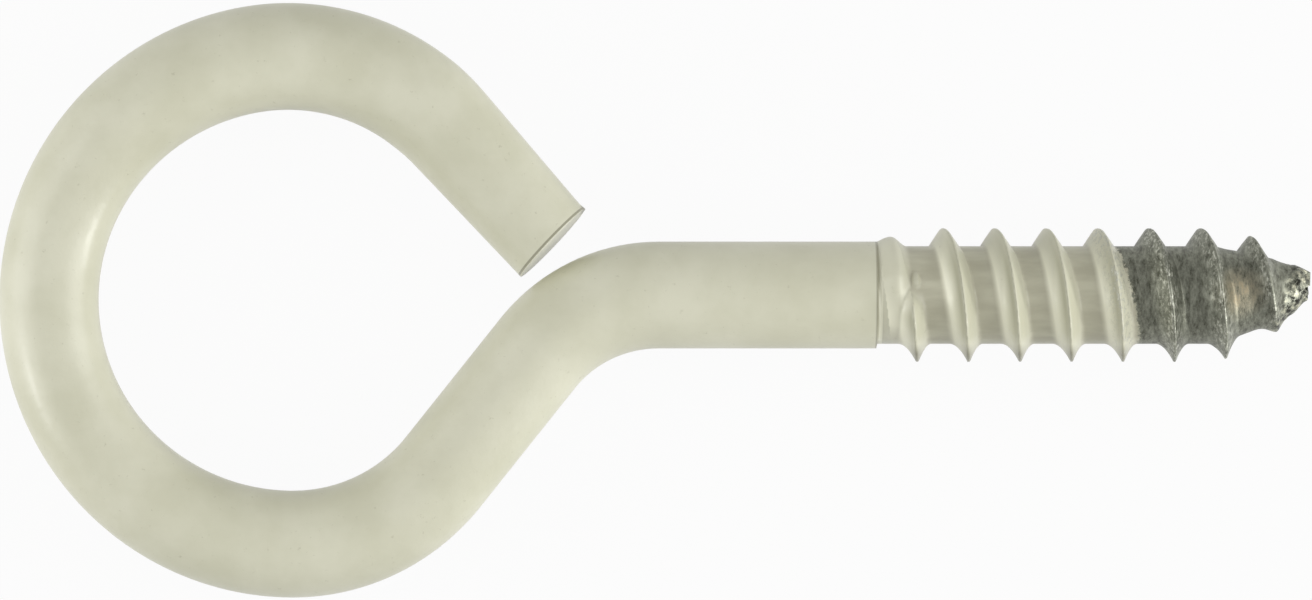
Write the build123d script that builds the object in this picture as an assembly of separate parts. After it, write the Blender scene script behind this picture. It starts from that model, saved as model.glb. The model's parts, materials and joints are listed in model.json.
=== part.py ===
from build123d import *
import os
from math import atan, ceil, degrees, sqrt

# A screw eye: one steel wire, bent into an eye at one end and rolled with a
# wood-screw thread at the other.
#
# The frame: the origin is on the shank's axis, at the shoulder where the thread
# starts. +X runs along the shank to the point, the eye lies flat in the XY plane,
# and +Z is up from the surface that the screw eye lies on. All sizes are in mm.

# ---- driving dimensions: the wire and the eye ----
wire_d = 4.07              # drawn wire, before bending
eye_inner_d = 14.52        # across the inside of the eye
eye_drop = 0.19            # how far the eye's centre is off the shank's axis
near_radius_ratio = 0.786  # the eye's first arc, beside the neck, over its main arc
end_radius_ratio = 0.887   # the eye's last arc, before the cut end, over its main arc
main_arc_deg = 169.0       # the eye's main arc, measured from its lowest point
end_arc_deg = 59.0         # the eye's last arc
shank_length = 8.15        # plain straight wire between the shoulder and the neck
neck_radius = 5.89         # centreline radius where the shank bends into the neck
neck_length = 5.77         # straight wire between the neck's bend and the eye
cut_end_d = 3.66           # the leg draws down to this at the cut end
end_gap = 0.6              # air between the cut end's corner and the neck
shear_deg = 4.5            # how far the cut leans from square, in the eye's plane
tilt_deg = 5.5             # how far the cut's face tips up, out of that plane

# ---- driving dimensions: the thread and the point ----
pitch = 1.96               # crest to crest, about 13 threads to the inch
thread_depth = 0.68        # crest above root
shoulder_step = 0.175      # how far the rolled root lies below the plain wire
ridge_base = 1.30          # width of one ridge where it leaves the root
ridge_land = 0.13          # width of the flat along a crest
flank_hollow = 0.07        # how far a ridge's sides are hollowed from straight
first_crest = 0.58         # where the first crest passes the +Y side
run_in_length = 0.95       # the ridge grows out of the core over this length
run_in_lead = 0.1          # how far before the shoulder it starts to grow
core_end = 15.5            # where the rolled core and its ridge end
core_end_d = 2.4           # across the core there
crest_end_d = 2.76         # across the crest there
core_taper = 2.6           # the core tapers to the point over this length
crest_taper = 1.8          # the crest comes down to it over this length

# ---- driving dimensions: the broken nib ----
nib_length = 1.06          # how far the nib reaches past the core
nib_overlap = 0.6          # how far inside the core the nib's own cone starts
nib_start_d = 2.5          # across the nib where it starts
nib_end_d = 1.1            # across the rough end, where the blank broke away
nib_lean_deg = 13.0        # how far the nib leans off the shank's axis

# ---- sizes that follow from them ----
wire_r = wire_d / 2
cut_end_r = cut_end_d / 2
eye_r = eye_inner_d / 2 + wire_r
near_r = eye_r * near_radius_ratio
end_r = eye_r * end_radius_ratio
neck_start = Vector(-shank_length, 0)
neck_centre = Vector(-shank_length, -neck_radius)
root_r = wire_r - shoulder_step
crest_r = root_r + thread_depth
taper_start = core_end - core_taper
run_out_start = core_end - crest_taper
nib_start = core_end - nib_overlap
tip_x = core_end + nib_length
ridge_seat = 0.06                  # how deep a ridge's foot line is sunk in the core
ridge_foot_r = core_end_d / 2 - 0.25   # where its sides end, inside the whole core


def neck_angle():
    """How far the neck turns off the shank, so that the eye meets it in line.

    The neck's bend, its straight and the eye's first arc together fall by the
    eye's radius and its drop. Solved for the tangent of half the angle.
    """
    fall = eye_r + eye_drop
    span = 2 * (neck_radius + near_r) - fall
    half_tangent = (sqrt(neck_length ** 2 + fall * span) - neck_length) / span
    return degrees(2 * atan(half_tangent))


def neck_side(heading):
    """The direction from the leg's centreline towards the neck."""
    return heading.rotate(Axis.Z, -90)


def leg_length(start, heading):
    """Straight wire after the last arc, until its corner is end_gap from the neck.

    The corner travels along a straight line beside the leg, and stops where that
    line meets a circle of air round the neck's bend.
    """
    corner = start + neck_side(heading) * cut_end_r - neck_centre
    reach = neck_radius + wire_r + end_gap
    along = corner.dot(heading)
    return -along - sqrt(along ** 2 - corner.dot(corner) + reach ** 2)


def bent_path():
    """The centreline of the constant wire, from the shoulder to the end of the eye."""
    angle = neck_angle()
    shank = Line((0, 0), neck_start)
    neck_bend = JernArc(shank @ 1, shank % 1, neck_radius, angle)
    neck = Line(neck_bend @ 1, neck_bend @ 1 + (neck_bend % 1) * neck_length)
    near_arc = JernArc(neck @ 1, neck % 1, near_r, -angle)
    main_arc = JernArc(near_arc @ 1, near_arc % 1, eye_r, -main_arc_deg)
    end_arc = JernArc(main_arc @ 1, main_arc % 1, end_r, -end_arc_deg)
    return Wire([shank, neck_bend, neck, near_arc, main_arc, end_arc])


def bent_wire():
    """The shank, the neck and the eye, as one round wire along its centreline."""
    path = bent_path()
    section = Plane(path @ 0, z_dir=path % 0) * Circle(wire_r)
    return Solid.sweep(section.face(), path)


def cut_leg():
    """The straight leg after the eye, drawn down a little and sheared off.

    The cut passes through the leg's corner on the neck side, and leans two ways.
    """
    path = bent_path()
    start = path @ 1
    heading = path % 1
    length = leg_length(start, heading)
    spare = wire_d / 4
    leg = Plane(start, z_dir=heading) * Cone(
        wire_r, cut_end_r, length + spare, align=(Align.CENTER, Align.CENTER, Align.MIN))
    corner = start + heading * length + neck_side(heading) * cut_end_r
    facing = heading.rotate(Axis.Z, shear_deg)
    facing = facing.rotate(Axis((0, 0, 0), neck_side(facing)), tilt_deg)
    blade = Plane(corner, z_dir=facing) * Box(
        4 * wire_d, 4 * wire_d, wire_d, align=(Align.CENTER, Align.CENTER, Align.MIN))
    return leg - blade


def thread_core():
    """The rolled core: a straight root, then the tapered point."""
    outline = Polyline(
        (-wire_r, 0),
        (-wire_r, root_r),
        (taper_start, root_r),
        (core_end, core_end_d / 2),
        (core_end, 0),
        close=True,
    )
    return revolve(make_face(outline), Axis.X)


def nib():
    """The rough stub on the point, leaning off the axis, where the blank broke away."""
    length = (tip_x - nib_start) + nib_end_d / 2
    cone = Pos(nib_start, 0, 0) * Rot(Z=nib_lean_deg) * Rot(Y=90) * Cone(
        nib_start_d / 2, nib_end_d / 2, length, align=(Align.CENTER, Align.CENTER, Align.MIN))
    beyond = Pos(tip_x, 0, 0) * Box(
        length, 4 * nib_start_d, 4 * nib_start_d, align=(Align.MIN, Align.CENTER, Align.CENTER))
    return cone - beyond


def ridge_profile():
    """One ridge's section in the XY plane: a narrow crest on two hollow sides.

    Below the root its sides go straight down inside the core, so that the ridge
    stays rooted all the way down the point.
    """
    half_base = ridge_base / 2
    half_land = ridge_land / 2
    seat = root_r - ridge_seat
    outline = [
        Line((-half_base, ridge_foot_r), (-half_base, seat)),
        SagittaArc((-half_base, seat), (-half_land, crest_r), -flank_hollow),
        Line((-half_land, crest_r), (half_land, crest_r)),
        SagittaArc((half_land, crest_r), (half_base, seat), -flank_hollow),
        Line((half_base, seat), (half_base, ridge_foot_r)),
        Line((half_base, ridge_foot_r), (-half_base, ridge_foot_r)),
    ]
    return Face(Wire(outline))


def thread_envelope():
    """The turned shape that the ridge fills: it grows, runs full and tapers.

    Its first cone starts inside the plain wire, below the root.
    """
    growth = thread_depth / run_in_length
    inside = run_in_length / 2
    outline = Polyline(
        (-inside, 0),
        (-inside, root_r - growth * (inside - run_in_lead)),
        (run_in_length - run_in_lead, crest_r),
        (run_out_start, crest_r),
        (core_end, crest_end_d / 2),
        (core_end, 0),
        close=True,
    )
    return revolve(make_face(outline), Axis.X)


def ridge_turns():
    """The right-hand helical ridge, one turn at a time, trimmed to its envelope."""
    helix = Rot(X=-90) * Edge.make_helix(pitch, pitch, root_r, normal=(1, 0, 0))
    turn = Solid.sweep(ridge_profile(), helix, is_frenet=True)
    envelope = thread_envelope()
    turns = ceil((core_end - first_crest) / pitch) + 1
    return [Pos(first_crest + pitch * (i - 1), 0, 0) * turn & envelope for i in range(turns)]


def screw_eye():
    """The whole screw eye as one solid."""
    threaded_end = thread_core() + nib()
    for turn in ridge_turns():
        threaded_end += turn
    whole = bent_wire() + cut_leg() + threaded_end
    return whole.solid()


os.makedirs("parts", exist_ok=True)
export_step(screw_eye(), "parts/screw_eye.step")
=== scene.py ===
# %% [markdown]
# # A screw eye around its frame
# A screw eye is one length of steel wire. One end is bent into an eye, the other is
# rolled with a wood-screw thread, and this one was dipped in cream paint.
# The engineering model is loaded first, and everything is built in its frame: the
# origin is at the shoulder where the thread starts, +X runs to the point, and +Z is up.

# %% Load the frame
import cmath
import json
from math import atan, pi, radians, sqrt, tan

import bpy
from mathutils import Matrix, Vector


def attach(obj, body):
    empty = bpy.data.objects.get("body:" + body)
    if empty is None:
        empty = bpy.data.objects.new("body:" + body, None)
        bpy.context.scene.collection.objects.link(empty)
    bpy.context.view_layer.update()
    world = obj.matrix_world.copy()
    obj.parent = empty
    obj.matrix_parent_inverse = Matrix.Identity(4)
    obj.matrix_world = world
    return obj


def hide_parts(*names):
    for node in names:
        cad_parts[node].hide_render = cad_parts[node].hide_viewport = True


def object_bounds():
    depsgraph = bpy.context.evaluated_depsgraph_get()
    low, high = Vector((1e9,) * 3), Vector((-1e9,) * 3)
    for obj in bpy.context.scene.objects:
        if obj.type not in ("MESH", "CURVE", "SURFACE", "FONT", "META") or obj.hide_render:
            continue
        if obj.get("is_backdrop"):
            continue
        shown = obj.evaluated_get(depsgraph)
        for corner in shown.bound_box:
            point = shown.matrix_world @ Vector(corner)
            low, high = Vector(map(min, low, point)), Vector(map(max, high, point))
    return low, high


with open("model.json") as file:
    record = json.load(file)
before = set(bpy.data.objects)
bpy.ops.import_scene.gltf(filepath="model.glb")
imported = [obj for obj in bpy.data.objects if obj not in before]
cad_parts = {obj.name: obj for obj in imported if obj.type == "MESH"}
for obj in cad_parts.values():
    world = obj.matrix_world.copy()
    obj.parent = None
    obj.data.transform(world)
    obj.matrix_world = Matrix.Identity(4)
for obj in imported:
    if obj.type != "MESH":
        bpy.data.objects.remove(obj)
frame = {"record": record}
cad_low, cad_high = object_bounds()
mounts = {mount["name"]: mount for mount in frame["record"]["mounts"]}
print("engineering box, mm:", [round(1000 * (h - l), 2) for l, h in zip(cad_low, cad_high)])

# %% [markdown]
# ## The sizes
# Blender works in metres, but a part this small is easier to think about in
# millimetres. So the sizes are written in millimetres, and the last step of the
# shape scales them down. The wire's and the eye's sizes and the thread's length come
# from the frame, and the other sizes were matched to it.
# Bending draws the wire a little thinner, which the frame leaves out. The shank is
# longer than the frame's by a tenth of a millimetre, so that the outline still agrees.

# %% Sizes of the wire and the eye, in millimetres
MM = 0.001
wire_d = mounts["eye"]["dims"]["length_mm"]
eye_r = mounts["eye"]["dims"]["r_mm"] + wire_d / 2
eye_drop = -1000 * mounts["eye"]["pos_m"][1]
thread_length = 1000 * cad_high.x
shank_length = 8.28  # plain wire, from the shoulder to the neck
neck_radius = 5.89  # of the bend where the shank turns into the neck
neck_length = 5.77  # straight wire between that bend and the eye
near_radius = 0.786 * eye_r  # the eye is tighter beside the neck
main_arc = radians(169)  # and true round for most of its turn
end_radius = 0.887 * eye_r  # and tighter again before the leg
end_arc = radians(59)
leg_length = 5.9  # straight wire before the cut
print("wire", wire_d, "mm, eye centreline radius", round(eye_r, 2), "mm")

# %% [markdown]
# ## The wire's line
# The wire is bent from straights and arcs, so its centreline is a walk: go this far
# while turning this much. A complex number holds a place in the XY plane, and a turn
# is a multiplication, so one short formula covers both straights and arcs.
# The neck has to leave the shank at just the angle that brings the eye back in line.


# %% Walk the centreline from the shoulder to the cut end
def neck_angle():
    """The turn at which both bends and the neck fall by the eye's radius."""
    fall = eye_r + eye_drop
    span = 2 * (neck_radius + near_radius) - fall
    return 2 * atan((sqrt(neck_length ** 2 + fall * span) - neck_length) / span)


def walk(place, heading, stretches, step=0.1):
    """Points along a chain of (length, turn) stretches. A turn to the left is positive."""
    points = [place]
    for length, turn in stretches:
        count = max(1, round(length / step))
        for i in range(1, count + 1):
            share = i / count
            if turn:
                moved = length / turn * (cmath.exp(1j * turn * share) - 1) / 1j
            else:
                moved = length * share
            points.append(place + moved * cmath.exp(1j * heading))
        place = points[-1]
        heading += turn
    return points


neck_turn = neck_angle()
stretches = [
    (shank_length, 0),
    (neck_radius * neck_turn, neck_turn),
    (neck_length, 0),
    (near_radius * neck_turn, -neck_turn),
    (eye_r * main_arc, -main_arc),
    (end_radius * end_arc, -end_arc),
    (leg_length, 0),
]
bent_length = sum(length for length, turn in stretches)
centreline = walk(0j, pi, stretches)[::-1] + walk(0j, 0, [(thread_length, 0)])[1:]
print("wire length", round(bent_length + thread_length, 1), "mm in", len(centreline), "points")

# %% Turn the walk into a curve object
line_data = bpy.data.curves.new("wire_line", "CURVE")
line_data.dimensions = "3D"
spline = line_data.splines.new("POLY")
spline.points.add(len(centreline) - 1)
for point, place in zip(spline.points, centreline):
    point.co = (place.real, place.imag, 0, 1)
wire_line = bpy.data.objects.new("wire_line", line_data)
bpy.context.collection.objects.link(wire_line)
print("curve:", len(spline.points), "points, from the cut end to the point")

# %% [markdown]
# ## One helper for all nodes
# Both the shape and the paint are node trees. This one function adds a node, sets it
# up and links it, so that each line below reads like a step of a recipe.


# %% The node helper
def add_node(tree, kind, inputs=(), **settings):
    """Adds a node. Each input is a value, a node or a socket, listed by place or by name."""
    node = tree.nodes.new(kind)
    for name, value in settings.items():
        setattr(node, name, value)
    listed = inputs if isinstance(inputs, dict) else dict(enumerate(inputs))
    for place, value in listed.items():
        if isinstance(value, bpy.types.Node):
            value = value.outputs[0]
        if isinstance(value, bpy.types.NodeSocket):
            tree.links.new(value, node.inputs[place])
        else:
            node.inputs[place].default_value = value
    return node


# A Mix node keeps separate sockets for numbers and for colours, told by their places.
FACTOR, NUMBER_A, NUMBER_B, COLOUR_A, COLOUR_B = 0, 2, 3, 6, 7
COLOUR_OUT = 2
print("node helper ready")

# %% [markdown]
# ## The shape as a rule
# The whole part is a tube whose radius follows a rule: plain wire, then a step down
# to the rolled core, then a ridge that winds round it. It could be a swept circle with
# a swept ridge joined on by a Boolean, but the join would leave long thin faces.
# Here a flat grid is wrapped round the line instead. Its rows run along the wire and
# its columns run round it, and Geometry Nodes work out where each point goes.

# %% Sizes of the wire's surface
wire_sizes = {
    "Wire Radius": wire_d / 2,
    "Bend Thinning": 0.075,  # share of the radius lost where the wire turned away
    "Bent Length": bent_length,
    "Thread Length": thread_length,
    "Leg Taper Length": 7.0,
    "Cut End Scale": 0.90,  # share of the radius left at the cut
    "Cut Slant": tan(radians(4.5)),  # the cut leans so much in the eye's plane
    "Cut Tilt": tan(radians(3.5)),  # and so much out of it
    "Burr": 0.05,
}
print("wire:", len(wire_sizes), "sizes")

# %% Sizes of the thread and the point
thread_sizes = {
    "Root Radius": 1.86,
    "Thread Depth": 0.68,
    "Pitch": 1.96,
    "First Crest": 0.58,  # where it passes the +Y side
    "Half Land": 0.04,  # half the flat on a crest
    "Half Base": 0.47,  # from a crest to its foot on the +Y side
    "Low Widening": 0.08,  # how much wider both slopes are on the -Y side
    "Low Reach": 0.18,  # how much longer still the back slope is there
    "Crest Lean": 0.20,  # how far the crests lean to the point on the upper side
    "Lean Reach": 1.7,  # the back slope there is longer by this many leans
    "Top Fullness": 0.90,  # power of a slope on the +Y side: under 1 is full
    "Low Hollow": 1.10,  # added to the power on the -Y side: over 1 is hollow
    "Lean Hollow": 3.5,  # added to the power for each millimetre of lean
    "Start Hump": 0.53,  # this and the next two are shares of the thread's depth
    "Step Fillet": 0.20,
    "Drip": 0.22,
    "Taper Start": 12.9,  # where the core starts to taper
    "Neck Start": 15.1,  # where it starts to shrink to the nib
    "Point Drop": 0.59,  # what the radius loses on the taper
    "Nib Drop": 0.67,  # and on the nib
    "Nib Offset": 0.25,
    "Rag": 0.05,
    "Seed": 4.0,
}
print("thread:", len(thread_sizes), "sizes")

# %% The tree and its named inputs
shape = bpy.data.node_groups.new("wrapped_wire", "GeometryNodeTree")
shape.interface.new_socket("Geometry", in_out="INPUT", socket_type="NodeSocketGeometry")
shape.interface.new_socket("Geometry", in_out="OUTPUT", socket_type="NodeSocketGeometry")
for name, value in {**wire_sizes, **thread_sizes}.items():
    socket = shape.interface.new_socket(name, in_out="INPUT", socket_type="NodeSocketFloat")
    socket.default_value = value
for name in ("Rows on Wire", "Rows on Thread", "Cap Rows", "Columns"):
    shape.interface.new_socket(name, in_out="INPUT", socket_type="NodeSocketInt")
shape.interface.new_socket("Material", in_out="INPUT", socket_type="NodeSocketMaterial")
given = add_node(shape, "NodeGroupInput").outputs
print("inputs:", len(given) - 1)

# %% [markdown]
# ### Where each grid point is
# The grid is made one unit per cell, so a point's X is its row and its Y its column.
# A few rows at each end close the tube: they stay at the end and shrink to its middle.

# %% Rows and columns
row_count = add_node(shape, "ShaderNodeMath", [
    given["Rows on Wire"], given["Rows on Thread"]], operation="ADD")
last_row = add_node(shape, "ShaderNodeMath", [
    given["Cap Rows"], 2.0, row_count], operation="MULTIPLY_ADD")
rows = add_node(shape, "ShaderNodeMath", [last_row, 1.0], operation="ADD")
last_column = add_node(shape, "ShaderNodeMath", [given["Columns"], 1.0], operation="SUBTRACT")
grid = add_node(shape, "GeometryNodeMeshGrid", [last_row, last_column, rows, given["Columns"]])
place = add_node(shape, "ShaderNodeSeparateXYZ", [add_node(shape, "GeometryNodeInputPosition")])
row = add_node(shape, "ShaderNodeMath", [
    last_row, 0.5, place.outputs["X"]], operation="MULTIPLY_ADD")
column = add_node(shape, "ShaderNodeMath", [
    last_column, 0.5, place.outputs["Y"]], operation="MULTIPLY_ADD")
print("grid:", len(shape.nodes), "nodes so far")

# %% The turn round the wire
turn = add_node(shape, "ShaderNodeMath", [column, last_column], operation="DIVIDE")
angle = add_node(shape, "ShaderNodeMath", [turn, 2 * pi], operation="MULTIPLY")
sine = add_node(shape, "ShaderNodeMath", [angle], operation="SINE")
cosine = add_node(shape, "ShaderNodeMath", [angle], operation="COSINE")
print("turn: sine is 1 on the upper side, cosine is 1 on the +Y side of the shank")

# %% The distance along the wire
side_row = add_node(shape, "ShaderNodeMath", [row, given["Cap Rows"]], operation="SUBTRACT")
on_wire = add_node(shape, "ShaderNodeMapRange", {
    "Value": side_row, "From Max": given["Rows on Wire"], "To Max": given["Bent Length"]})
on_thread = add_node(shape, "ShaderNodeMapRange", {
    "Value": side_row, "From Min": given["Rows on Wire"], "From Max": row_count,
    "To Max": given["Thread Length"]})
along = add_node(shape, "ShaderNodeMath", [on_wire, on_thread], operation="ADD")
from_shoulder = add_node(shape, "ShaderNodeMath", [
    along, given["Bent Length"]], operation="SUBTRACT")
from_end = add_node(shape, "ShaderNodeMath", [last_row, row], operation="SUBTRACT")
nearest_end = add_node(shape, "ShaderNodeMath", [row, from_end], operation="MINIMUM")
closing = add_node(shape, "ShaderNodeMath", [
    nearest_end, given["Cap Rows"]], operation="DIVIDE", use_clamp=True)
print("distances:", len(shape.nodes), "nodes so far")

# %% [markdown]
# ### The line's own directions
# At each point the line is sampled for its place and its direction. The line is flat,
# so the way to the left of it is the up direction crossed with its own.

# %% Sample the line
total = add_node(shape, "ShaderNodeMath", [
    given["Bent Length"], given["Thread Length"]], operation="ADD")
share = add_node(shape, "ShaderNodeMath", [along, total], operation="DIVIDE")
sample = add_node(shape, "GeometryNodeSampleCurve", {
    "Curves": given["Geometry"], "Factor": share}, mode="FACTOR", use_all_curves=True)
tangent = sample.outputs["Tangent"]
left = add_node(shape, "ShaderNodeVectorMath", [(0, 0, 1), tangent], operation="CROSS_PRODUCT")
heading_parts = add_node(shape, "ShaderNodeSeparateXYZ", [tangent])
print("line sampled:", len(shape.nodes), "nodes so far")

# %% [markdown]
# ### The plain wire
# Bending draws the wire a little thinner where it turns away from the shank, and the
# leg was drawn down towards the cut.

# %% Radius of the plain wire
heading_y = heading_parts.outputs["Y"]
across = add_node(shape, "ShaderNodeMath", [heading_y, heading_y], operation="MULTIPLY")
thinned = add_node(shape, "ShaderNodeMath", [across, given["Bend Thinning"]], operation="MULTIPLY")
kept = add_node(shape, "ShaderNodeMath", [1.0, thinned], operation="SUBTRACT")
leg_scale = add_node(shape, "ShaderNodeMapRange", {
    "Value": along, "From Max": given["Leg Taper Length"], "To Min": given["Cut End Scale"]})
scaled = add_node(shape, "ShaderNodeMath", [kept, leg_scale], operation="MULTIPLY")
wire_radius = add_node(shape, "ShaderNodeMath", [scaled, given["Wire Radius"]], operation="MULTIPLY")
print("wire radius:", len(shape.nodes), "nodes so far")

# %% [markdown]
# ### The thread
# A helix climbs one pitch in one turn. So the distance from the first crest, counted
# in pitches, less the turn round the wire, is a whole number on every crest. What is
# left over is the distance to the nearest crest, and that gives the ridge's height.
# The dies did not roll evenly. On the upper side (+Z) each crest leans to the point,
# with a long slope behind it and a short one before it. On the -Y side the slopes are
# hollow and the crest is sharp, and on the +Y side they are nearly straight.

# %% Distance to the nearest crest
upper = add_node(shape, "ShaderNodeMath", [sine, 0.0], operation="MAXIMUM")
leaning = add_node(shape, "ShaderNodeMath", [upper, given["Crest Lean"]], operation="MULTIPLY")
first_here = add_node(shape, "ShaderNodeMath", [given["First Crest"], leaning], operation="ADD")
past_first = add_node(shape, "ShaderNodeMath", [from_shoulder, first_here], operation="SUBTRACT")
pitches = add_node(shape, "ShaderNodeMath", [past_first, given["Pitch"]], operation="DIVIDE")
phase = add_node(shape, "ShaderNodeMath", [pitches, turn], operation="SUBTRACT")
wrapped = add_node(shape, "ShaderNodeMath", [phase, 0.5, -0.5], operation="WRAP")
crest_offset = add_node(shape, "ShaderNodeMath", [wrapped, given["Pitch"]], operation="MULTIPLY")
crest_distance = add_node(shape, "ShaderNodeMath", [crest_offset], operation="ABSOLUTE")
print("crests:", len(shape.nodes), "nodes so far")

# %% How far the slopes reach
behind = add_node(shape, "ShaderNodeMath", [crest_offset, 0.0], operation="LESS_THAN")
low_side = add_node(shape, "ShaderNodeMapRange", {
    "Value": cosine, "From Min": 1.0, "From Max": -1.0})
lean_reach = add_node(shape, "ShaderNodeMath", [leaning, given["Lean Reach"]], operation="MULTIPLY")
low_reach = add_node(shape, "ShaderNodeMath", [
    low_side, given["Low Reach"], lean_reach], operation="MULTIPLY_ADD")
reach_behind = add_node(shape, "ShaderNodeMath", [
    behind, low_reach, given["Half Base"]], operation="MULTIPLY_ADD")
half_base = add_node(shape, "ShaderNodeMath", [
    low_side, given["Low Widening"], reach_behind], operation="MULTIPLY_ADD")
flank = add_node(shape, "ShaderNodeMapRange", {
    "Value": crest_distance, "From Min": given["Half Land"], "From Max": half_base,
    "To Min": 1.0, "To Max": 0.0})
print("slopes:", len(shape.nodes), "nodes so far")

# %% How hollow the slopes are
lean_behind = add_node(shape, "ShaderNodeMath", [behind, leaning], operation="MULTIPLY")
low_hollow = add_node(shape, "ShaderNodeMath", [
    low_side, given["Low Hollow"], given["Top Fullness"]], operation="MULTIPLY_ADD")
hollow = add_node(shape, "ShaderNodeMath", [
    lean_behind, given["Lean Hollow"], low_hollow], operation="MULTIPLY_ADD")
ridge = add_node(shape, "ShaderNodeMath", [flank, hollow], operation="POWER")
print("ridge profile:", len(shape.nodes), "nodes so far")

# %% Where the ridge starts and runs out
ridge_start = (1.20, 1.40)  # it grows out of the core between these crest places
ridge_end = (14.2, 16.1)  # and runs out between these distances from the shoulder
crest_place = add_node(shape, "ShaderNodeMath", [from_shoulder, crest_offset], operation="SUBTRACT")
grown = add_node(shape, "ShaderNodeMapRange", {
    "Value": crest_place, "From Min": ridge_start[0], "From Max": ridge_start[1]},
    interpolation_type="SMOOTHSTEP")
fading = add_node(shape, "ShaderNodeMapRange", {
    "Value": from_shoulder, "From Min": ridge_end[0], "From Max": ridge_end[1],
    "To Min": 1.0, "To Max": 0.0})
swell = add_node(shape, "ShaderNodeMath", [grown, fading], operation="MULTIPLY")
full_ridge = add_node(shape, "ShaderNodeMath", [ridge, swell], operation="MULTIPLY")
print("ridge:", len(shape.nodes), "nodes so far")

# %% [markdown]
# ### Where the thread starts
# The ridge starts short, after the first quarter turn. Beside the shoulder there is a
# low hump instead, which dies away down the side. Below the hump a narrow
# fillet of paint fills the step.

# %% The hump beside the shoulder
hump_place = 0.55
hump_reach = 0.60  # to its foot on the side of the point
shoulder_slope = 0.6  # its slope to the shoulder, against the other one
hump_here = add_node(shape, "ShaderNodeMath", [leaning, hump_place], operation="ADD")
hump_offset = add_node(shape, "ShaderNodeMath", [from_shoulder, hump_here], operation="SUBTRACT")
shoulder_side = add_node(shape, "ShaderNodeMath", [
    hump_offset, -shoulder_slope], operation="MULTIPLY")
hump_way = add_node(shape, "ShaderNodeMath", [hump_offset, shoulder_side], operation="MAXIMUM")
hump = add_node(shape, "ShaderNodeMapRange", {
    "Value": hump_way, "From Max": hump_reach, "To Min": given["Start Hump"], "To Max": 0.0},
    interpolation_type="SMOOTHSTEP")
hump_fade = add_node(shape, "ShaderNodeMapRange", {
    "Value": cosine, "From Min": -0.95, "From Max": 0.3})
faded_hump = add_node(shape, "ShaderNodeMath", [hump, hump_fade], operation="MULTIPLY")
print("hump:", len(shape.nodes), "nodes so far")

# %% The fillet in the step
fillet_width = 0.24
fillet = add_node(shape, "ShaderNodeMapRange", {
    "Value": from_shoulder, "From Max": fillet_width, "To Min": given["Step Fillet"], "To Max": 0.0})
fillet_start = add_node(shape, "ShaderNodeMapRange", {
    "Value": cosine, "From Min": 0.7, "From Max": 0.0})
fillet_end = add_node(shape, "ShaderNodeMapRange", {
    "Value": cosine, "From Min": -0.98, "From Max": -0.85})
fillet_share = add_node(shape, "ShaderNodeMath", [fillet_start, fillet_end], operation="MULTIPLY")
faded_fillet = add_node(shape, "ShaderNodeMath", [fillet, fillet_share], operation="MULTIPLY")
at_start = add_node(shape, "ShaderNodeMath", [faded_hump, faded_fillet], operation="MAXIMUM")
print("fillet:", len(shape.nodes), "nodes so far")

# %% [markdown]
# A drip of paint dried in the first groove. It is a bump round one spot, and the spot
# is given by its distance from the shoulder and by the cosine and sine of its turn.

# %% The drip, and the whole ridge
drip_spot = (1.45, 0.30, 0.95)
drip_core, drip_reach = 0.06, 0.22
spot = add_node(shape, "ShaderNodeCombineXYZ", [from_shoulder, cosine, sine])
drip_way = add_node(shape, "ShaderNodeVectorMath", [spot, drip_spot], operation="DISTANCE")
drip = add_node(shape, "ShaderNodeMapRange", {
    "Value": drip_way.outputs["Value"], "From Min": drip_core, "From Max": drip_reach,
    "To Min": given["Drip"], "To Max": 0.0}, interpolation_type="SMOOTHSTEP")
with_start = add_node(shape, "ShaderNodeMath", [full_ridge, at_start], operation="MAXIMUM")
with_drip = add_node(shape, "ShaderNodeMath", [with_start, drip], operation="MAXIMUM")
past_shoulder = add_node(shape, "ShaderNodeMath", [from_shoulder, 0.001], operation="GREATER_THAN")
ridge_share = add_node(shape, "ShaderNodeMath", [with_drip, past_shoulder], operation="MULTIPLY")
ridge_height = add_node(shape, "ShaderNodeMath", [
    ridge_share, given["Thread Depth"]], operation="MULTIPLY")
print("ridge height:", len(shape.nodes), "nodes so far")

# %% [markdown]
# ### The core and the broken point
# The rolled core is straight, then tapers, then shrinks faster to a rough stub: the
# nib, where the next blank was broken off.

# %% Radius of the core, and the change from wire to thread
taper = add_node(shape, "ShaderNodeMapRange", {
    "Value": from_shoulder, "From Min": given["Taper Start"], "From Max": given["Neck Start"]})
necking = add_node(shape, "ShaderNodeMapRange", {
    "Value": from_shoulder, "From Min": given["Neck Start"], "From Max": given["Thread Length"]})
tapered = add_node(shape, "ShaderNodeMath", [taper, given["Point Drop"]], operation="MULTIPLY")
necked = add_node(shape, "ShaderNodeMath", [
    necking, given["Nib Drop"], tapered], operation="MULTIPLY_ADD")
core = add_node(shape, "ShaderNodeMath", [given["Root Radius"], necked], operation="SUBTRACT")
threaded = add_node(shape, "ShaderNodeMath", [core, ridge_height], operation="ADD")
smooth_radius = add_node(shape, "ShaderNodeMix", {
    FACTOR: past_shoulder, NUMBER_A: wire_radius, NUMBER_B: threaded})
print("radius:", len(shape.nodes), "nodes so far")

# %% [markdown]
# ### What rolling and breaking leave
# Nothing rolled is perfect. A little noise makes the crests ragged, and much more of
# it tears the nib. The noise is sampled by distance and turn, so it has no seam.

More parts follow.
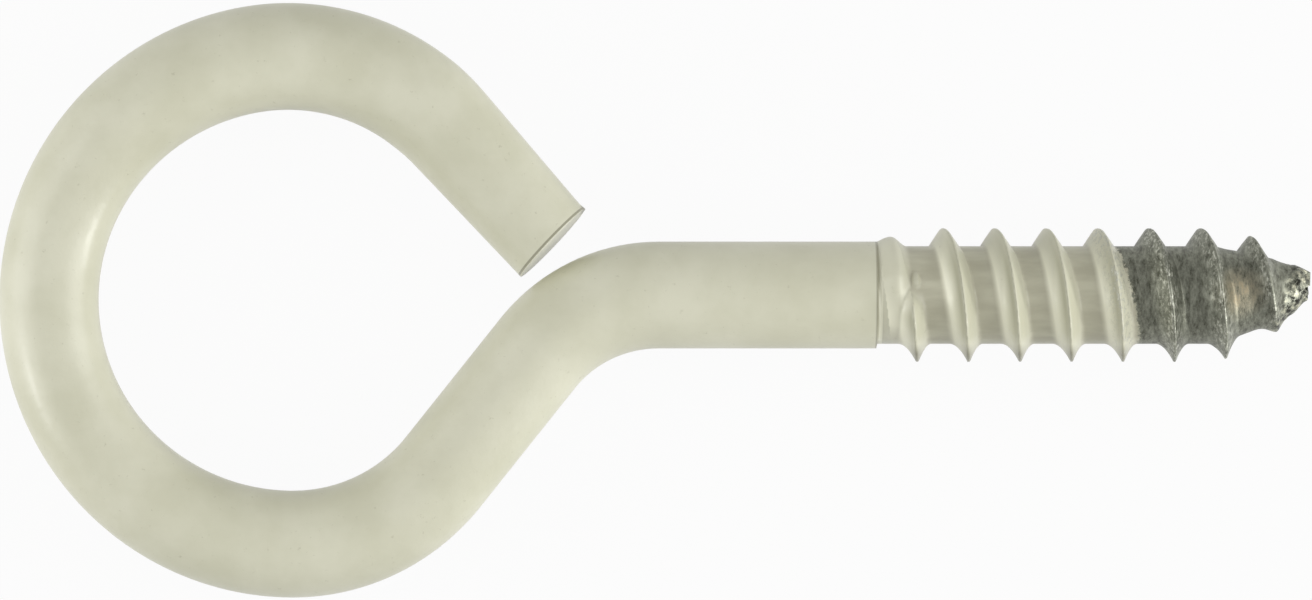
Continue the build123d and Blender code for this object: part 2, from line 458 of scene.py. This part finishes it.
# %% Roughness of the crests and the nib
nib_torn = (15.2, 16.4)  # the nib's roughness grows between these distances
nib_roughness = 9.0  # against that of a full crest
rough = add_node(shape, "ShaderNodeTexNoise", {
    "Vector": spot, "W": given["Seed"], "Scale": 2.6, "Detail": 4.0, "Roughness": 0.65},
    noise_dimensions="4D")
centred = add_node(shape, "ShaderNodeMath", [rough, 0.5], operation="SUBTRACT")
torn = add_node(shape, "ShaderNodeMapRange", {
    "Value": from_shoulder, "From Min": nib_torn[0], "From Max": nib_torn[1],
    "To Max": nib_roughness})
rag_share = add_node(shape, "ShaderNodeMath", [ridge_share, torn], operation="ADD")
ragged = add_node(shape, "ShaderNodeMath", [rag_share, given["Rag"]], operation="MULTIPLY")
rag = add_node(shape, "ShaderNodeMath", [centred, ragged], operation="MULTIPLY")
print("roughness:", len(shape.nodes), "nodes so far")

# %% [markdown]
# The shears left a burr, a small lip on the outside corner of the cut end.

# %% The burr, and the finished radius
burr_length = 0.35
near_cut = add_node(shape, "ShaderNodeMapRange", {
    "Value": along, "From Max": burr_length, "To Min": 1.0, "To Max": 0.0},
    interpolation_type="SMOOTHSTEP")
outer_side = add_node(shape, "ShaderNodeMapRange", {
    "Value": cosine, "From Min": -0.93, "From Max": -1.0}, interpolation_type="SMOOTHSTEP")
lip = add_node(shape, "ShaderNodeMath", [near_cut, outer_side], operation="MULTIPLY")
lipped = add_node(shape, "ShaderNodeMath", [lip, given["Burr"], rag], operation="MULTIPLY_ADD")
side_radius = add_node(shape, "ShaderNodeMath", [smooth_radius, lipped], operation="ADD")
radius = add_node(shape, "ShaderNodeMath", [side_radius, closing], operation="MULTIPLY")
sideways = add_node(shape, "ShaderNodeMath", [radius, cosine], operation="MULTIPLY")
upwards = add_node(shape, "ShaderNodeMath", [radius, sine], operation="MULTIPLY")
print("burr:", len(shape.nodes), "nodes so far")

# %% [markdown]
# ### The two ends
# The cut leans two ways, so a point there slides along the wire by a share of how far
# it is from the middle. The nib is torn, so its points slide back by a noise instead.
# Both slides fade out away from the end, so that the wire itself stays put.

# %% Slide the cut end
slide_fade = 3.0
cut_fade = add_node(shape, "ShaderNodeMapRange", {
    "Value": along, "From Max": slide_fade, "To Min": 1.0, "To Max": 0.0})
tilt_slide = add_node(shape, "ShaderNodeMath", [upwards, given["Cut Tilt"]], operation="MULTIPLY")
slant_slide = add_node(shape, "ShaderNodeMath", [sideways, given["Cut Slant"]], operation="MULTIPLY")
cut_slide = add_node(shape, "ShaderNodeMath", [tilt_slide, slant_slide], operation="SUBTRACT")
cut_move = add_node(shape, "ShaderNodeMath", [cut_slide, cut_fade], operation="MULTIPLY")
print("cut:", len(shape.nodes), "nodes so far")

# %% Slide the nib, and let the point drift off the axis
nib_slide = (16.0, -0.5)  # from this distance on, back by up to this much
point_sag = (13.3, 14.4, 0.11)  # from, to and how far the taper drifts
nib_drift = (15.4, 16.4)  # from and to where the nib takes its own offset
nib_fade = add_node(shape, "ShaderNodeMapRange", {
    "Value": from_shoulder, "From Min": nib_slide[0], "From Max": given["Thread Length"],
    "To Max": nib_slide[1]})
nib_rag = add_node(shape, "ShaderNodeMapRange", {"Value": rough, "From Min": 0.3, "From Max": 0.7})
slide = add_node(shape, "ShaderNodeMath", [nib_rag, nib_fade, cut_move], operation="MULTIPLY_ADD")
sagging = add_node(shape, "ShaderNodeMapRange", {
    "Value": from_shoulder, "From Min": point_sag[0], "From Max": point_sag[1],
    "To Max": point_sag[2]})
off_axis = add_node(shape, "ShaderNodeMapRange", {
    "Value": from_shoulder, "From Min": nib_drift[0], "From Max": nib_drift[1],
    "To Max": given["Nib Offset"]})
moved = add_node(shape, "ShaderNodeMath", [sagging, off_axis], operation="ADD")
sideways_all = add_node(shape, "ShaderNodeMath", [sideways, moved], operation="ADD")
print("point:", len(shape.nodes), "nodes so far")

# %% Put every point in its place
out_left = add_node(shape, "ShaderNodeVectorMath", {0: left, "Scale": sideways_all}, operation="SCALE")
out_along = add_node(shape, "ShaderNodeVectorMath", {0: tangent, "Scale": slide}, operation="SCALE")
out_up = add_node(shape, "ShaderNodeCombineXYZ", {"Z": upwards})
in_plane = add_node(shape, "ShaderNodeVectorMath", [
    sample.outputs["Position"], out_left], operation="ADD")
slid = add_node(shape, "ShaderNodeVectorMath", [in_plane, out_along], operation="ADD")
lifted = add_node(shape, "ShaderNodeVectorMath", [slid, out_up], operation="ADD")
target = add_node(shape, "ShaderNodeVectorMath", {0: lifted, "Scale": MM}, operation="SCALE")
print("places:", len(shape.nodes), "nodes so far")

# %% [markdown]
# ### Notes left for the paint
# The paint needs to know where it is on the part. So each point keeps some notes,
# called attributes: its share of the ridge's height, how far the crest leans where it
# is behind or ahead of one, its distance from the cut end, its share of the burr, and
# its row. The last is for the crisp edges below.

# %% Keep the notes
on_rim = add_node(shape, "ShaderNodeMapRange", {"Value": closing, "From Min": 0.75})
notes = {
    "ridge": ridge_share,
    "behind": add_node(shape, "ShaderNodeMath", [lean_behind, grown], operation="MULTIPLY"),
    "ahead": add_node(shape, "ShaderNodeMath", [leaning, lean_behind], operation="SUBTRACT"),
    "along": along,
    "burr": add_node(shape, "ShaderNodeMath", [lip, on_rim], operation="MULTIPLY"),
    "grid_row": row,
}
body = grid.outputs["Mesh"]
for name, field in notes.items():
    body = add_node(shape, "GeometryNodeStoreNamedAttribute", {
        "Geometry": body, "Name": name, "Value": field}, data_type="FLOAT", domain="POINT")
print("notes:", ", ".join(notes))

# %% Wrap the grid and close its seam
seam_distance = 0.002 * MM
wrapped_grid = add_node(shape, "GeometryNodeSetPosition", {"Geometry": body, "Position": target})
closed = add_node(shape, "GeometryNodeMergeByDistance", {
    "Geometry": wrapped_grid, "Distance": seam_distance})
outward = add_node(shape, "GeometryNodeFlipFaces", {"Mesh": closed})
smooth = add_node(shape, "GeometryNodeSetShadeSmooth", {
    "Geometry": outward, "Shade Smooth": True}, domain="FACE")
print("wrapped:", len(shape.nodes), "nodes so far")

# %% Keep the cut's rim and the shoulder crisp
kept_row = add_node(shape, "GeometryNodeInputNamedAttribute", {"Name": "grid_row"}, data_type="FLOAT")
shoulder_row = add_node(shape, "ShaderNodeMath", [
    given["Cap Rows"], given["Rows on Wire"]], operation="ADD")
below_shoulder = add_node(shape, "ShaderNodeMath", [shoulder_row, 1.0], operation="ADD")
crisp = None
for crisp_row in (given["Cap Rows"], shoulder_row, below_shoulder):
    on_row = add_node(shape, "ShaderNodeMath", [
        kept_row.outputs["Attribute"], crisp_row, 0.01], operation="COMPARE")
    if crisp is None:
        crisp = on_row
    else:
        crisp = add_node(shape, "ShaderNodeMath", [crisp, on_row], operation="MAXIMUM")
edged = add_node(shape, "GeometryNodeSetShadeSmooth", {
    "Geometry": smooth, "Selection": crisp, "Shade Smooth": False}, domain="EDGE")
real = add_node(shape, "GeometryNodeRealizeInstances", {"Geometry": edged})
coated = add_node(shape, "GeometryNodeSetMaterial", {"Geometry": real, "Material": given["Material"]})
add_node(shape, "NodeGroupOutput", [coated])
print("shape tree:", len(shape.nodes), "nodes")

# %% [markdown]
# ## The paint and the steel
# The screw eye was dipped in cream enamel, and the last turns are bare: most likely
# the paint wore off them in wood. One material holds both finishes and a rule for
# where one stops. Colours are written as sRGB hex values, which Blender needs as linear numbers.


# %% Colours
def linear(hex_colour):
    """The linear colour, with alpha, of an sRGB hex value such as #CFCEBA."""
    parts = [int(hex_colour[i:i + 2], 16) / 255 for i in (1, 3, 5)]
    return tuple(p / 12.92 if p <= 0.04045 else ((p + 0.055) / 1.055) ** 2.4 for p in parts) + (1.0,)


palette = {
    "cream, thin": "#CBCAB3",
    "cream, thick": "#D5D4BF",
    # a painted highlight
    "cream, painted highlight": "#F0EFD8",
    "cream, shaded": "#A7A690",
    "grime": "#A9A68C",
    # the grooves' two colours, both painted darker than the cream
    "root, darker": "#B4B19B",
    "root, lighter": "#C6C4AE",
    # dark lines, and painted shade on the thread's low tips
    "dark lines, painted shade": "#77745F",
    "steel, dark": "#4E4F43",
    "steel, light": "#96988A",
    # scuffs, worn and with a painted highlight
    "steel, scuffed and lit": "#CBCCBE",
    # painted glints on the nib
    "steel, torn, glint": "#C2C0A9",
    "pit": "#23231C",
    "old oil": "#93876D",
}
tint = {name: linear(value) for name, value in palette.items()}
print("palette:", len(tint), "colours")

# %% [markdown]
# The noises are sampled in millimetres, so a scale of 4 gives grains of a quarter of
# a millimetre. Each scale below is the real grain size turned over, except where the
# pattern is stretched: there the comment gives its size along and round the wire.

# %% Material, its scales, and where on the part it is
grains_per_mm = {
    "clouds": 0.35,  # 3 mm: where the dip ran thinner
    "grime": 4.0,  # 0.25 mm specks
    "chips": 5.0,  # 0.2 mm chips along the edge of the paint
    "patches": 1.0,  # 2 mm along by 0.6 mm round, in the grooves
    "streaks": 1.3,  # 0.2 mm along by 0.5 mm round: the marks of the rolls
    "scuffs": 4.5,  # 0.1 mm along by 0.2 mm round
    "torn": 3.6,  # 0.3 mm facets on the nib
    "peel": 2.2,  # 0.5 mm waves in the enamel
}
enamel = bpy.data.materials.new("dipped_cream_enamel_on_rolled_steel")
enamel.use_nodes = True
finish = enamel.node_tree
finish.nodes.clear()
here = add_node(finish, "ShaderNodeTexCoord").outputs["Object"]
in_mm = add_node(finish, "ShaderNodeVectorMath", {0: here, "Scale": 1 / MM}, operation="SCALE")
axes = add_node(finish, "ShaderNodeSeparateXYZ", [in_mm])
note = {}
for name in ("ridge", "behind", "ahead", "along", "burr"):
    note[name] = add_node(finish, "ShaderNodeAttribute", attribute_name=name).outputs["Fac"]
print("notes read:", ", ".join(note))

# %% [markdown]
# ### Where the paint stops
# The edge of the paint leans like the thread does: it is nearer the shoulder at the
# top than at the bottom. A fine noise chips it.

# %% Bare or painted
edge_direction = (1.0, 0.23, -0.10)
paint_edge = (9.86, 9.93)  # how far the paint goes along that direction
chip_depth = 0.8
chips = add_node(finish, "ShaderNodeTexNoise", {
    "Vector": in_mm, "Scale": grains_per_mm["chips"], "Detail": 6.0, "Roughness": 0.8})
lean = add_node(finish, "ShaderNodeVectorMath", [in_mm, edge_direction], operation="DOT_PRODUCT")
chipped = add_node(finish, "ShaderNodeMath", [
    chips, chip_depth, lean.outputs["Value"]], operation="MULTIPLY_ADD")
bare = add_node(finish, "ShaderNodeMapRange", {
    "Value": chipped, "From Min": paint_edge[0], "From Max": paint_edge[1]})
print("paint stops about", round(paint_edge[0] - chip_depth / 2, 1), "mm from the shoulder")

# %% [markdown]
# ### Cream enamel
# Cold grey cream, thick enough to soften every edge. It has clouds where it ran
# thinner, and fine specks of dirt.

# %% Clouds and specks
clouds = add_node(finish, "ShaderNodeTexNoise", {
    "Vector": in_mm, "Scale": grains_per_mm["clouds"], "Detail": 4.0, "Roughness": 0.55})
cloud_share = add_node(finish, "ShaderNodeMapRange", {
    "Value": clouds, "From Min": 0.35, "From Max": 0.65})
cream = add_node(finish, "ShaderNodeMix", {
    FACTOR: cloud_share, COLOUR_A: tint["cream, thin"], COLOUR_B: tint["cream, thick"]},
    data_type="RGBA")
grime = add_node(finish, "ShaderNodeTexNoise", {
    "Vector": in_mm, "Scale": grains_per_mm["grime"], "Detail": 6.0, "Roughness": 0.75})
grime_share = add_node(finish, "ShaderNodeMapRange", {
    "Value": grime, "From Min": 0.62, "From Max": 0.70, "To Max": 0.5})
print("enamel:", len(finish.nodes), "nodes so far")

# %% [markdown]
# The grooves are painted darker than the cream. Beside the shoulder they are not,
# and the darkening lies in patches drawn out along the shank.

# %% Darker grooves
groove_darkening = 0.85
patch_stretch = (0.5, 1.6, 1.6)
groove = add_node(finish, "ShaderNodeMapRange", {
    "Value": note["ridge"], "From Min": 0.02, "From Max": 0.22, "To Min": 1.0, "To Max": 0.0},
    interpolation_type="SMOOTHSTEP")
past_step = add_node(finish, "ShaderNodeMapRange", {
    "Value": axes.outputs["X"], "From Min": 0.3, "From Max": 1.3})
thin = add_node(finish, "ShaderNodeMath", [groove, past_step], operation="MULTIPLY")
groove_share = add_node(finish, "ShaderNodeMath", [thin, groove_darkening], operation="MULTIPLY")
patch_place = add_node(finish, "ShaderNodeVectorMath", [in_mm, patch_stretch], operation="MULTIPLY")
patches = add_node(finish, "ShaderNodeTexNoise", {
    "Vector": patch_place, "Scale": grains_per_mm["patches"], "Detail": 4.0})
patch_share = add_node(finish, "ShaderNodeMapRange", {
    "Value": patches, "From Min": 0.38, "From Max": 0.62})
groove_colour = add_node(finish, "ShaderNodeMix", {
    FACTOR: patch_share, COLOUR_A: tint["root, darker"], COLOUR_B: tint["root, lighter"]},
    data_type="RGBA").outputs[COLOUR_OUT]
print("grooves:", len(finish.nodes), "nodes so far")

# %% [markdown]
# A light line is painted along the foot of each back slope, and another just past the
# step at the shoulder: painted highlights.

# %% Painted highlights
step_highlight, highlight_half_width = 0.14, 0.07  # where the light line lies past the step
foot_line = add_node(finish, "ShaderNodeMapRange", {
    "Value": note["ridge"], "From Min": 0.02, "From Max": 0.14, "To Max": 1.0})
off_foot = add_node(finish, "ShaderNodeMapRange", {
    "Value": note["ridge"], "From Min": 0.16, "From Max": 0.40, "To Min": 5.0, "To Max": 0.0})
foot_part = add_node(finish, "ShaderNodeMath", [foot_line, off_foot], operation="MULTIPLY")
foot_highlight_share = add_node(finish, "ShaderNodeMath", [foot_part, note["behind"]], operation="MULTIPLY")
past_line = add_node(finish, "ShaderNodeMath", [
    axes.outputs["X"], step_highlight, highlight_half_width], operation="COMPARE")
down_side = add_node(finish, "ShaderNodeMapRange", {
    "Value": axes.outputs["Y"], "From Min": 1.2, "From Max": -0.4, "To Max": 0.9})
line_share = add_node(finish, "ShaderNodeMath", [past_line, down_side], operation="MULTIPLY")
highlight_share = add_node(finish, "ShaderNodeMath", [foot_highlight_share, line_share], operation="MAXIMUM")
print("highlight_lines:", len(finish.nodes), "nodes so far")

# %% [markdown]
# Just under each crest, on both slopes, shade is painted into the enamel.

# %% Painted shade under the crests
under_crest = add_node(finish, "ShaderNodeMapRange", {
    "Value": note["ridge"], "From Min": 0.40, "From Max": 0.75, "To Max": 5.0})
under_behind = add_node(finish, "ShaderNodeMath", [under_crest, note["behind"]], operation="MULTIPLY")
on_ridge = add_node(finish, "ShaderNodeMapRange", {
    "Value": note["ridge"], "From Min": 0.05, "From Max": 0.25, "To Max": 2.2})
under_ahead = add_node(finish, "ShaderNodeMath", [on_ridge, note["ahead"]], operation="MULTIPLY")
under_crest_shade = add_node(finish, "ShaderNodeMath", [under_behind, under_ahead], operation="MAXIMUM")
print("crests:", len(finish.nodes), "nodes so far")

# %% [markdown]
# The colour is darker along the shoulder's step, in a band just behind the cut's rim
# and on the burr, and the low tips of the thread get painted shade.

# %% Dark lines and painted shade
rim_place, rim_half_width = 0.065, 0.045  # a band just behind the cut's rim
from_step = add_node(finish, "ShaderNodeMath", [axes.outputs["X"]], operation="ABSOLUTE")
step_line = add_node(finish, "ShaderNodeMapRange", {
    "Value": from_step, "From Min": 0.01, "From Max": 0.07, "To Min": 0.65, "To Max": 0.0})
at_rim = add_node(finish, "ShaderNodeMath", [
    note["along"], rim_place, rim_half_width], operation="COMPARE")
rim_line = add_node(finish, "ShaderNodeMath", [at_rim, 0.7], operation="MULTIPLY")
burr_spot = add_node(finish, "ShaderNodeMapRange", {
    "Value": note["burr"], "From Min": 0.2, "From Max": 0.6, "To Max": 0.8})
low_side_tips = add_node(finish, "ShaderNodeMapRange", {
    "Value": axes.outputs["Y"], "From Min": -1.85, "From Max": -2.25, "To Max": 0.85})
shaded_tips = add_node(finish, "ShaderNodeMath", [low_side_tips, note["ridge"]], operation="MULTIPLY")
dark_share = step_line
for part in (rim_line, burr_spot, shaded_tips):
    dark_share = add_node(finish, "ShaderNodeMath", [dark_share, part], operation="MAXIMUM")
print("dark lines:", len(finish.nodes), "nodes so far")

# %% Lay the enamel's colours one over another
painted = cream.outputs[COLOUR_OUT]
for layer_share, layer in (
        (grime_share, tint["grime"]),
        (groove_share, groove_colour),
        (highlight_share, tint["cream, painted highlight"]),
        (under_crest_shade, tint["cream, shaded"]),
        (dark_share, tint["dark lines, painted shade"])):
    painted = add_node(finish, "ShaderNodeMix", {
        FACTOR: layer_share, COLOUR_A: painted, COLOUR_B: layer},
        data_type="RGBA").outputs[COLOUR_OUT]
print("enamel done:", len(finish.nodes), "nodes so far")

# %% [markdown]
# ### Bare steel
# Rolled wire, dulled to a dark grey in the wood. Rolling leaves fine marks that run
# round the wire. In scuffs the ridges are brighter, from wear and from a painted highlight.

# %% Dull steel, and its scuffs with a painted highlight
streak_stretch = (4.0, 1.5, 1.5)
scuff_stretch = (2.0, 1.0, 1.0)
streak_place = add_node(finish, "ShaderNodeVectorMath", [
    in_mm, streak_stretch], operation="MULTIPLY")
streaks = add_node(finish, "ShaderNodeTexNoise", {
    "Vector": streak_place, "Scale": grains_per_mm["streaks"], "Detail": 6.0, "Roughness": 0.8})
streak_share = add_node(finish, "ShaderNodeMapRange", {
    "Value": streaks, "From Min": 0.36, "From Max": 0.64})
dull = add_node(finish, "ShaderNodeMix", {
    FACTOR: streak_share, COLOUR_A: tint["steel, dark"], COLOUR_B: tint["steel, light"]},
    data_type="RGBA")
crest_mask = add_node(finish, "ShaderNodeMapRange", {
    "Value": note["ridge"], "From Min": 0.05, "From Max": 0.65})
scuff_place = add_node(finish, "ShaderNodeVectorMath", [
    in_mm, scuff_stretch], operation="MULTIPLY")
scuffs = add_node(finish, "ShaderNodeTexNoise", {
    "Vector": scuff_place, "Scale": grains_per_mm["scuffs"], "Detail": 4.0, "Roughness": 0.75})
scuff_share = add_node(finish, "ShaderNodeMapRange", {
    "Value": scuffs, "From Min": 0.50, "From Max": 0.66})
scuffs_and_highlight = add_node(finish, "ShaderNodeMath", [crest_mask, scuff_share], operation="MULTIPLY")
print("steel:", len(finish.nodes), "nodes so far")

# %% [markdown]
# The torn metal of the nib shows dark pits, and bright facets that are painted glints,
# from one noise: its high places get the glints and its low places are pits.

# %% The nib's painted glints and pits
nib_direction = (1.0, -0.35, 0.0)
nib_place = add_node(finish, "ShaderNodeVectorMath", [in_mm, nib_direction], operation="DOT_PRODUCT")
near_nib = add_node(finish, "ShaderNodeMapRange", {
    "Value": nib_place.outputs["Value"], "From Min": 15.2, "From Max": 15.7})
torn_marks = add_node(finish, "ShaderNodeTexNoise", {
    "Vector": in_mm, "Scale": grains_per_mm["torn"], "Detail": 5.0, "Roughness": 0.65})
facets = add_node(finish, "ShaderNodeMapRange", {
    "Value": torn_marks, "From Min": 0.52, "From Max": 0.68})
facet_glint_share = add_node(finish, "ShaderNodeMath", [near_nib, facets], operation="MULTIPLY")
pits = add_node(finish, "ShaderNodeMapRange", {
    "Value": torn_marks, "From Min": 0.48, "From Max": 0.42})
pit_share = add_node(finish, "ShaderNodeMath", [near_nib, pits], operation="MULTIPLY")
print("nib:", len(finish.nodes), "nodes so far")

# %% [markdown]
# Between the last two turns, on the upper side, is a brown patch of old oil.

# %% The brown patch, and the steel's colours one over another
oil_spot = (13.7, 0.1, 1.7)
oil_core, oil_reach = 0.3, 1.2
oil_way = add_node(finish, "ShaderNodeVectorMath", [in_mm, oil_spot], operation="DISTANCE")
oil_near = add_node(finish, "ShaderNodeMapRange", {
    "Value": oil_way.outputs["Value"], "From Min": oil_core, "From Max": oil_reach,
    "To Min": 1.0, "To Max": 0.0})
oil_share = add_node(finish, "ShaderNodeMath", [oil_near, streak_share], operation="MULTIPLY")
steel = dull.outputs[COLOUR_OUT]
for layer_share, layer in (
        (scuffs_and_highlight, tint["steel, scuffed and lit"]),
        (facet_glint_share, tint["steel, torn, glint"]),
        (pit_share, tint["pit"]),
        (oil_share, tint["old oil"])):
    steel = add_node(finish, "ShaderNodeMix", {
        FACTOR: layer_share, COLOUR_A: steel, COLOUR_B: layer},
        data_type="RGBA").outputs[COLOUR_OUT]
print("steel done:", len(finish.nodes), "nodes so far")

# %% [markdown]
# ### Both finishes on one surface
# Near the edge of the paint the crest has lost flakes of it, so bare steel shows
# through there too.

# %% Flakes, and the colour of the whole
near_edge = add_node(finish, "ShaderNodeMapRange", {
    "Value": lean.outputs["Value"], "From Min": 8.2, "From Max": 9.3, "To Max": 1.3})
flakes = add_node(finish, "ShaderNodeMapRange", {"Value": scuffs, "From Min": 0.52, "From Max": 0.57})
flaked = add_node(finish, "ShaderNodeMath", [flakes, near_edge], operation="MULTIPLY")
flaked_crest = add_node(finish, "ShaderNodeMath", [flaked, crest_mask], operation="MULTIPLY")
bare_all = add_node(finish, "ShaderNodeMath", [bare, flaked_crest], operation="MAXIMUM")
colour = add_node(finish, "ShaderNodeMix", {
    FACTOR: bare_all, COLOUR_A: painted, COLOUR_B: steel}, data_type="RGBA").outputs[COLOUR_OUT]
print("colour:", len(finish.nodes), "nodes so far")

# %% [markdown]
# Enamel is no metal. It is half glossy, and its slow waves make the edges of its
# highlights wander. The steel is mostly metal: dirt dulls it, so it counts as three
# quarters. It is rougher, and the roll marks are its relief.

# %% Gloss and relief
enamel_roughness, steel_roughness = 0.34, 0.46
steel_metal = 0.75
relief_height = 0.04 * MM
metal = add_node(finish, "ShaderNodeMath", [bare, steel_metal], operation="MULTIPLY")
roughness = add_node(finish, "ShaderNodeMapRange", {
    "Value": bare, "To Min": enamel_roughness, "To Max": steel_roughness})
peel = add_node(finish, "ShaderNodeTexNoise", {
    "Vector": in_mm, "Scale": grains_per_mm["peel"], "Detail": 3.0})
relief = add_node(finish, "ShaderNodeMix", {FACTOR: bare, NUMBER_A: peel, NUMBER_B: streaks})
bump = add_node(finish, "ShaderNodeBump", {
    "Strength": 0.35, "Distance": relief_height, "Height": relief})
skin = add_node(finish, "ShaderNodeBsdfPrincipled", {
    "Base Color": colour, "Metallic": metal, "Roughness": roughness, "Normal": bump})
add_node(finish, "ShaderNodeOutputMaterial", [skin])
print("finish:", len(finish.nodes), "nodes")

# %% [markdown]
# ## From rule to mesh
# The modifier runs the tree on the wire's line. Its inputs are set by their
# identifiers, then the result is copied to a plain mesh.

# %% Run the tree once and keep the mesh
wrap = wire_line.modifiers.new("wrap", "NODES")
wrap.node_group = shape
chosen = {
    "Rows on Wire": 230,
    "Rows on Thread": 400,
    "Cap Rows": 4,
    "Columns": 129,
    "Material": enamel,
}
for socket in shape.interface.items_tree:
    if socket.in_out == "INPUT" and socket.name in chosen:
        wrap[socket.identifier] = chosen[socket.name]
bpy.context.view_layer.update()
evaluated = wire_line.evaluated_get(bpy.context.evaluated_depsgraph_get())
mesh = bpy.data.meshes.new_from_object(evaluated)
mesh.name = "screw_eye_wire"
screw_eye = bpy.data.objects.new("screw_eye_wire", mesh)
bpy.context.collection.objects.link(screw_eye)
bpy.data.objects.remove(wire_line)
print("mesh:", len(mesh.vertices), "points,", len(mesh.polygons), "faces")

# %% Give it its place in the frame
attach(screw_eye, "root")
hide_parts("screw_eye")
print("rides on the root and stands for the frame's screw_eye")

# %% [markdown]
# ## Floor, light and camera
# The screw eye lies on a pale sheet, under an even sky. A soft panel stands on each
# side of it, so the wire is lighter on its flanks. A narrow lamp beside each panel
# draws the short bright lines in the enamel.

# %% Floor
low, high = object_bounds()
centre = (low + high) / 2
length = (high - low).x
half = 6 * length
corners = [(x, y, cad_low.z) for x, y in ((-half, -half), (half, -half), (half, half), (-half, half))]
floor_mesh = bpy.data.meshes.new("white_sheet")
floor_mesh.from_pydata(corners, [], [(0, 1, 2, 3)])
floor = bpy.data.objects.new("white_sheet", floor_mesh)
bpy.context.collection.objects.link(floor)
floor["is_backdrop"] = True
print("floor:", round(2 * half, 2), "m across")

# %% [markdown]
# The sheet is matte paper. Where the camera, a reflection or a refraction looks at it,
# most of its colour is a plain white, and the rest of it keeps the part's shadow.

# %% The sheet's paper
white_share = 0.95
sheet = bpy.data.materials.new("white_paper_sheet")
sheet.use_nodes = True
paper = sheet.node_tree
paper.nodes.clear()
matte = add_node(paper, "ShaderNodeBsdfDiffuse", {"Color": linear("#B8B8B6")})
white = add_node(paper, "ShaderNodeEmission", {"Color": (1, 1, 1, 1), "Strength": 1.0})
rays = add_node(paper, "ShaderNodeLightPath")
mirrored = add_node(paper, "ShaderNodeMath", [
    rays.outputs["Is Glossy Ray"], rays.outputs["Is Transmission Ray"]], operation="MAXIMUM")
looked_at = add_node(paper, "ShaderNodeMath", [
    rays.outputs["Is Camera Ray"], mirrored], operation="MAXIMUM")
seen = add_node(paper, "ShaderNodeMath", [looked_at, white_share], operation="MULTIPLY")
mixed = add_node(paper, "ShaderNodeMixShader", [seen, matte, white])
add_node(paper, "ShaderNodeOutputMaterial", [mixed])
floor_mesh.materials.append(sheet)
print("paper:", len(paper.nodes), "nodes")

# %% World light
sky_strength = 0.55
world = bpy.data.worlds.new("studio")
bpy.context.scene.world = world
world.use_nodes = True
world.node_tree.nodes.clear()
sky = add_node(world.node_tree, "ShaderNodeBackground", {
    "Color": (1, 1, 1, 1), "Strength": sky_strength})
add_node(world.node_tree, "ShaderNodeOutputWorld", [sky])
print("sky:", sky_strength)


# %% Lamps
def soft_lamp(name, offset, size, power):
    """A square soft lamp, placed from the part's middle and pointed at it."""
    lamp = bpy.data.lights.new(name, "AREA")
    lamp.size = size
    lamp.energy = power
    lamp_object = bpy.data.objects.new(name, lamp)
    lamp_object.location = centre + Vector(offset)
    lamp_object.rotation_euler = (-Vector(offset)).to_track_quat("-Z", "Y").to_euler()
    bpy.context.collection.objects.link(lamp_object)
    print(name, size, "m across,", power, "W")


soft_lamp("left_panel", (-0.16, 0.0, 0.07), 0.15, 0.128)
soft_lamp("right_panel", (0.16, 0.0, 0.07), 0.15, 0.198)
soft_lamp("left_narrow", (-0.15, -0.04, 0.055), 0.015, 0.03)
soft_lamp("right_narrow", (0.15, -0.06, 0.025), 0.015, 0.07)

# %% Camera, looking straight down
view_width = 0.04996
view_middle = (-0.00838, -0.00019)
camera_data = bpy.data.cameras.new("camera")
camera_data.lens = 200
camera_data.sensor_width = 36
distance = view_width * camera_data.lens / camera_data.sensor_width
camera = bpy.data.objects.new("camera", camera_data)
camera.location = (*view_middle, distance)
bpy.context.collection.objects.link(camera)
bpy.context.scene.camera = camera
bpy.context.scene.view_settings.view_transform = "Standard"
print("camera:", round(distance, 3), "m up")

# %% Write the sizes and finish
low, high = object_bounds()
print("visual box, mm:", [round(1000 * (h - l), 2) for l, h in zip(low, high)])
